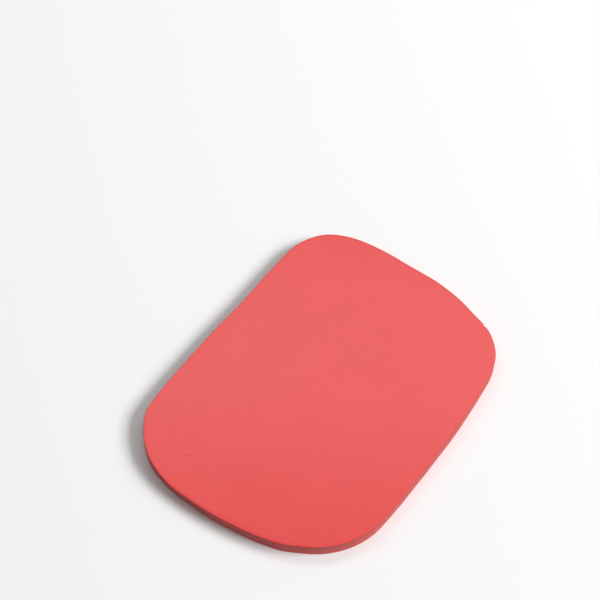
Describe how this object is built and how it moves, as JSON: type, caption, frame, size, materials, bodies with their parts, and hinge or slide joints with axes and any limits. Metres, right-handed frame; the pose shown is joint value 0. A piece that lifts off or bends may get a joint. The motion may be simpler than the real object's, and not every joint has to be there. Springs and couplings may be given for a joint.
{
  "type": "hip pad",
  "caption": "Flat plate of soft closed-cell foam with bowed ends and large corner radii, worn over the hip bone in a garment's pocket to cushion a fall.",
  "frame": {"origin": "on the surface that the pad rests on, under the middle of its bounding box", "axes": "+Y along the pad to its far end, the less bowed one; +X across it to its right side, the more bowed one; +Z out of its upper face"},
  "size_m": [0.156, 0.21, 0.0085],
  "materials": {
    "foam": "matte coral closed-cell foam with a fine even grain, its cut wall a little rougher and darker than its faces"
  },
  "bodies": {
    "root": {"foam_pad": "foam"}
  },
  "joints": []
}
